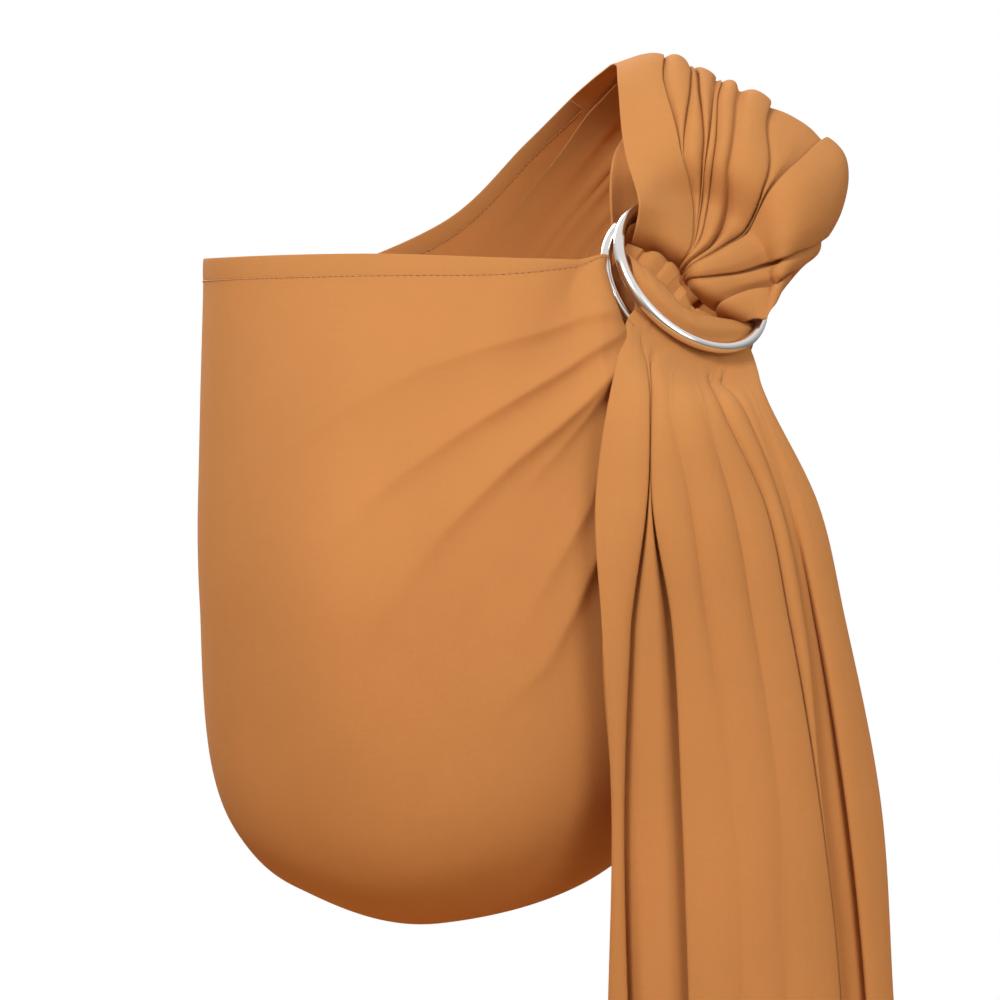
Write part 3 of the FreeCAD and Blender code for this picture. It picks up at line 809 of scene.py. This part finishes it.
def flat_places(points):
    """How far along and across the flat cloth each point of the grid lies, in metres."""
    along = np.concatenate([[0], np.cumsum(np.linalg.norm(np.diff(points, axis=0), axis=2).mean(axis=1))])
    steps = np.linalg.norm(np.diff(points, axis=1), axis=2)
    width = np.median(steps.sum(axis=1))
    across = np.linspace(0, width, points.shape[1])
    shape = points.shape[:2]
    return np.broadcast_to(along[:, None], shape) * MM, np.broadcast_to(across, shape) * MM


def make_cloth(name, points, first_length, material):
    made = new_object(name, points, grid_faces(*points.shape[:2]), material)
    length, width = flat_places(points)
    lay_uv(made, length + first_length, width)
    thicken(made, CLOTH_THICK)
    return made


def grid_normals(points):
    normal = np.cross(np.gradient(points, axis=1), np.gradient(points, axis=0))
    return normal / (np.linalg.norm(normal, axis=2, keepdims=True) + 1e-9)


def thin_body(name, front, back, material):
    """A closed thin body between two grids of points with the same number of rows and columns."""
    rows, columns = front.shape[:2]
    ring = np.concatenate([front, back[:, ::-1]], 1)
    count = 2 * columns
    index = np.arange(rows * count).reshape(rows, count)
    turned = np.roll(index, -1, axis=1)
    faces = np.stack([index[:-1], turned[:-1], turned[1:], index[1:]], axis=-1).reshape(-1, 4).tolist()
    for end in (index[0], index[-1][::-1]):
        for k in range(columns - 1):
            faces.append([int(end[k + 1]), int(end[k]), int(end[count - 1 - k]), int(end[count - 2 - k])])
    made = new_object(name, ring, faces, material)
    length, width = flat_places(ring)
    lay_uv(made, length, width)
    return made


def hem_band(name, points, normals, material, thick=HEM_THICK):
    """A closed, slightly puffed band over both faces of a strip of the cloth's grid."""
    puff = np.sin(np.pi * np.linspace(0.06, 0.94, points.shape[1])) ** 0.35 * thick / 2
    puff = normals * puff[None, :, None]
    return thin_body(name, points + puff, points - puff, material)


# The five rings of points of one stitch: share of its length, share of its radius, and how far it dips in.
STITCH_RINGS = [(0, 0.25, 0.7), (0.15, 0.8, 0.15), (0.5, 1.0, 0), (0.85, 0.8, 0.15), (1, 0.25, 0.7)]
STITCH_SIDES = 6
STITCH_PITCH = 3.0
STITCH_LENGTH = 2.3
STITCH_RADIUS = 0.3
STITCH_RISE = 0.35         # how far a stitch's middle stands off the cloth, as a share of its radius


def stitch_row(path, normals, side, surface):
    """Short rounded stitches along a path of points on the cloth, lying on one face of it."""
    distance = np.concatenate([[0], np.cumsum(np.linalg.norm(np.diff(path, axis=0), axis=1))])
    starts = np.arange(STITCH_PITCH, distance[-1] - STITCH_PITCH, STITCH_PITCH)
    points, faces = [], []
    angle = np.linspace(0, 2 * np.pi, STITCH_SIDES + 1)[:-1]

    def read(table, at):
        return np.array([np.interp(at, distance, table[:, k]) for k in range(3)])

    for start in starts:
        first = len(points)
        for share, fat, sunk in STITCH_RINGS:
            at = start + share * STITCH_LENGTH
            ahead = read(path, at + 0.3) - read(path, at - 0.3)
            ahead /= np.linalg.norm(ahead) + 1e-9
            up = read(normals, at) * side
            beside = np.cross(ahead, up)
            centre = read(path, at) + up * (surface + STITCH_RADIUS * (STITCH_RISE - sunk))
            for a in angle:
                points.append(centre + STITCH_RADIUS * fat * (math.cos(a) * beside + math.sin(a) * up))
        last = first + (len(STITCH_RINGS) - 1) * STITCH_SIDES
        for low in range(first, last, STITCH_SIDES):
            high = low + STITCH_SIDES
            for k in range(STITCH_SIDES):
                after = (k + 1) % STITCH_SIDES
                faces.append([low + k, low + after, high + after, high + k])
        faces.append([first + k for k in reversed(range(STITCH_SIDES))])
        faces.append([last + k for k in range(STITCH_SIDES)])
    return points, faces


def make_stitches(name, rows, material):
    points, faces = [], []
    for path, normals, side, surface in rows:
        more_points, more_faces = stitch_row(path, normals, side, surface)
        faces += [[i + len(points) for i in face] for face in more_faces]
        points += more_points
    return new_object(name, points, faces, material)


# --------------------------------------------------------------------------- the pieces
def row_at(station):
    return int(np.argmin(np.abs(STATION - station)))


LABEL_SHIFT = 12           # the furthest that the label may move off its CAD solid


def make_label(cad_label, tail, material):
    """The blank label: a thin tape with rounded edges, bowed a little. It lies along and across the tail as
    its CAD solid does, but is moved back until it is clear of the tail's rearmost cloth."""
    corners = np.array([cad_label.matrix_world @ Vector(v.co) for v in cad_label.data.vertices]) / MM
    centre = (corners.max(axis=0) + corners.min(axis=0)) / 2
    _, _, axes = np.linalg.svd(corners - corners.mean(axis=0))
    long, wide, thin = axes
    thin = thin * np.sign(thin[1])
    spans = [np.ptp((corners - centre) @ axis) for axis in (long, wide, thin)]
    near = np.abs((tail - centre) @ long) < spans[0] / 2 + 2
    near &= np.abs((tail - centre) @ wide) < spans[1] / 2 + 2
    cloth_behind = ((tail - centre) @ thin)[near].max() + CLOTH_THICK / 2 + spans[2]
    centre = centre + thin * np.clip(cloth_behind, -LABEL_SHIFT, LABEL_SHIFT)
    u = np.linspace(-0.5, 0.5, 41)[:, None, None]
    v = np.linspace(-0.5, 0.5, 21)[None, :, None]
    half = spans[2] * 0.35
    bow = spans[2] * 0.9 * np.sin(np.pi * (u + 0.5)) + 0.15 * np.sin(3 * np.pi * v) * spans[2]
    flat = centre + u * spans[0] * long + v * spans[1] * wide
    edge = half * (1 - (2 * np.abs(v)) ** 8) * np.ones_like(u)
    return thin_body("care_label_cloth", flat + (bow + edge) * thin, flat + (bow - edge) * thin, material)


HEM = max(3, int(round(HEM_SHARE * THREADS)))      # a hem's width in threads
TURN_UP = 6                # the end hem's width in rows
HEM_SINK = 0.15            # how far the rail stitches sink into their hems
TAIL_HEM_SINK = 0.1
CHANNEL_ROWS = (0.10, 0.22, 0.34)
CHANNEL_MARGIN = 12        # threads left free at the two ends of a channel row


def make_loop_hems(grid, normals, body, material):
    bands = []
    rails = (("upper_rail_hem", slice(0, HEM)), ("lower_rail_hem", slice(THREADS - HEM, THREADS)))
    for name, columns in rails:
        band = hem_band(name + "_cloth", grid[body, columns], normals[body, columns], material)
        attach(band, "root")
        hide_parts(name)
        bands.append(band)
    return bands


def make_rail_stitches(grid, normals, body, material):
    rows = []
    for column in (HEM - 1, THREADS - HEM):
        for side in (1, -1):
            rows.append((grid[body, column], normals[body, column], side, HEM_THICK / 2 - HEM_SINK))
    rail = make_stitches("rail_stitches", rows, material)
    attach(rail, "root")
    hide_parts("rail_stitching")
    return rail


def make_channel_stitches(grid, normals, material):
    rows = []
    for step in CHANNEL_ROWS:
        row = row_at(station_of("sewn_end", step))
        inner = slice(CHANNEL_MARGIN, THREADS - CHANNEL_MARGIN)
        rows.append((grid[row, inner], normals[row, inner], 1, CLOTH_THICK / 2))
    channel = make_stitches("channel_stitches", rows, material)
    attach(channel, "root")
    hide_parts("channel_stitching")
    return channel


def make_tail_hems(grid, normals, top, material):
    bands = [
        ("tail_left_hem", grid[top:, :HEM], normals[top:, :HEM]),
        ("tail_right_hem", grid[top:, THREADS - HEM:], normals[top:, THREADS - HEM:]),
        ("tail_end_hem", np.swapaxes(grid[-TURN_UP:], 0, 1), -np.swapaxes(normals[-TURN_UP:], 0, 1)),
    ]
    hems = []
    for name, points, facing in bands:
        band = hem_band(name + "_cloth", points, facing, material, TAIL_HEM_THICK)
        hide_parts(name)
        hems.append(band)
    return hems


def make_tail_stitches(grid, normals, top, material):
    fold = -TURN_UP - 1
    rows = [(grid[fold], normals[fold], side, CLOTH_THICK / 2) for side in (1, -1)]
    for column in (HEM - 2, THREADS - HEM + 1):
        rows.append((grid[top:, column], normals[top:, column], 1, TAIL_HEM_THICK / 2 - TAIL_HEM_SINK))
    tail_stitches = make_stitches("tail_stitches", rows, material)
    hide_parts("tail_stitching")
    return tail_stitches


def make_pieces():
    """Every piece, with the cloth cut in two under the front ring, as the loop and the tail."""
    cotton, thread, metal, label = cloth_material(), thread_material(), ring_material(), label_material()
    grid = cloth_grid()
    normals = grid_normals(grid)
    length, _ = flat_places(grid)
    seam = row_at(station_of("roll", 5))
    loop, tail = grid[:seam + 1], grid[seam:]
    loop_length = float(length[seam, 0])

    loop_cloth = make_cloth("loop_cloth", loop, 0, cotton)
    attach(loop_cloth, "root")
    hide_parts("sewn_end", "ring_channel", "shoulder_fan", "back_panel", "side_wrap",
                "pouch_panel", "pouch_seat", "ring_lead_in", "ring_roll")

    tail_cloth = make_cloth("tail_cloth", tail, loop_length, cotton)
    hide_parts("tail_panel")

    body = slice(row_at(station_of("body", 0.2)), row_at(station_of("body", 8.8)))
    loop_hems = make_loop_hems(grid, normals, body, cotton)
    rail = make_rail_stitches(grid, normals, body, thread)
    channel = make_channel_stitches(grid, normals, thread)

    top = row_at(station_of("tail", 0.05))
    tail_hems = make_tail_hems(grid, normals, top, cotton)
    tail_stitches = make_tail_stitches(grid, normals, top, thread)

    for piece in [tail_cloth, tail_stitches] + tail_hems:
        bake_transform(piece)

    for name in ("front_ring", "rear_ring"):
        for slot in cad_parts[name].material_slots:
            slot.material = metal
    care_label = make_label(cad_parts["care_label"], tail, label)
    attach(care_label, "tail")
    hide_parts("care_label")


make_camera()
make_world()
make_lights()
make_floor()
make_pieces()
bpy.context.scene.view_settings.view_transform = "Standard"
